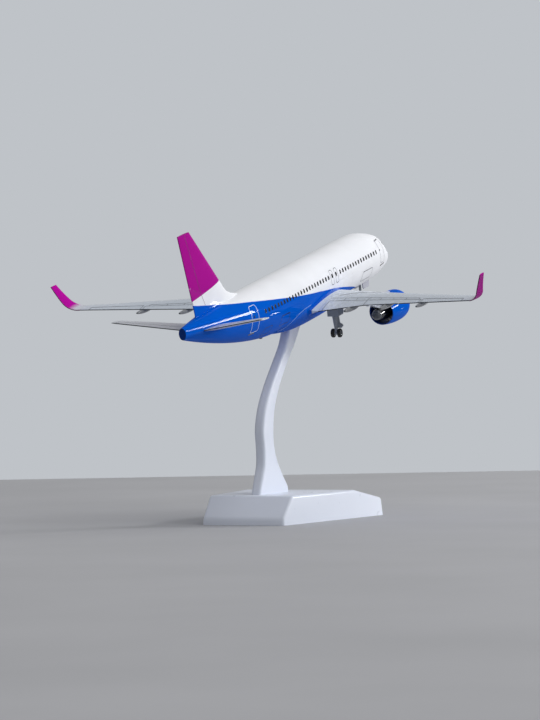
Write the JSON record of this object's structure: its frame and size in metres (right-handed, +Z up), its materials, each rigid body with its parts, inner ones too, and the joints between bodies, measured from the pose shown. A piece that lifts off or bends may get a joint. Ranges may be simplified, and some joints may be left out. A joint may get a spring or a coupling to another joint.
{
  "type": "model airplane",
  "caption": "Twin-engine airliner model with upswept winglets, held nose-up on a curved one-leg stand with a wedge-shaped base.",
  "frame": {"origin": "on the table under the middle of the base, on the aircraft's plane of symmetry", "axes": "+X towards the aircraft's nose, +Y to its port side, +Z up; the aircraft is held 12.8 degrees nose-up"},
  "size_m": [0.1903, 0.1778, 0.1118],
  "materials": {
    "stand_white": "gloss",
    "shell_white": "gloss",
    "cowl_blue": "gloss",
    "tail_magenta": "gloss",
    "wing_grey": "satin",
    "gear_grey": "satin",
    "engine_dark": "metallic satin",
    "tyre_black": "matt",
    "axle_steel": "drawn"
  },
  "bodies": {
    "stand": {"base": "stand_white", "stem": "stand_white", "stem_screw": "axle_steel"},
    "airframe": {"fuselage_left": "shell_white", "fuselage_right": "shell_white", "centre_section": "shell_white", "fin": "tail_magenta", "tailplane_left": "wing_grey", "tailplane_right": "wing_grey", "wing_left": "wing_grey", "wing_right": "wing_grey", "winglet_left": "tail_magenta", "winglet_right": "tail_magenta", "cowl_left": "cowl_blue", "cowl_right": "cowl_blue", "engine_core_left": "engine_dark", "engine_core_right": "engine_dark", "exhaust_plug_left": "engine_dark", "exhaust_plug_right": "engine_dark", "main_leg_left": "gear_grey", "main_leg_right": "gear_grey", "main_door_left": "gear_grey", "main_door_right": "gear_grey", "nose_leg": "gear_grey", "nose_door_left": "shell_white", "nose_door_right": "shell_white"},
    "fan_left_spin": {"fan_left": "engine_dark", "spinner_left": "engine_dark"},
    "fan_right_spin": {"fan_right": "engine_dark", "spinner_right": "engine_dark"},
    "main_wheels_left": {"main_axle_left": "axle_steel", "main_tyre_left_outer": "tyre_black", "main_tyre_left_inner": "tyre_black", "main_hub_left_outer": "gear_grey", "main_hub_left_inner": "gear_grey"},
    "main_wheels_right": {"main_axle_right": "axle_steel", "main_tyre_right_outer": "tyre_black", "main_tyre_right_inner": "tyre_black", "main_hub_right_outer": "gear_grey", "main_hub_right_inner": "gear_grey"},
    "nose_wheels": {"nose_axle": "axle_steel", "nose_tyre_left": "tyre_black", "nose_tyre_right": "tyre_black", "nose_hub_left": "gear_grey", "nose_hub_right": "gear_grey"}
  },
  "joints": [
    {"name": "lift_off", "type": "slide", "parent": "stand", "child": "airframe", "axis": [-0.2215, 0, 0.9751], "range_m": [0, 0.012]},
    {"name": "fan_left_turn", "type": "hinge", "parent": "airframe", "child": "fan_left_spin", "pos_m": [0.04023, 0.0305, 0.0815], "axis": [0.9751, 0, 0.2215], "continuous": true},
    {"name": "fan_right_turn", "type": "hinge", "parent": "airframe", "child": "fan_right_spin", "pos_m": [0.04023, -0.0305, 0.0815], "axis": [0.9751, 0, 0.2215], "continuous": true},
    {"name": "main_wheels_left_roll", "type": "hinge", "parent": "airframe", "child": "main_wheels_left", "pos_m": [0.01589, 0.0168, 0.07105], "axis": [0, 1, 0], "continuous": true},
    {"name": "main_wheels_right_roll", "type": "hinge", "parent": "airframe", "child": "main_wheels_right", "pos_m": [0.01589, -0.0168, 0.07105], "axis": [0, 1, 0], "continuous": true},
    {"name": "nose_wheels_roll", "type": "hinge", "parent": "airframe", "child": "nose_wheels", "pos_m": [0.08125, 0, 0.08533], "axis": [0, 1, 0], "continuous": true}
  ]
}
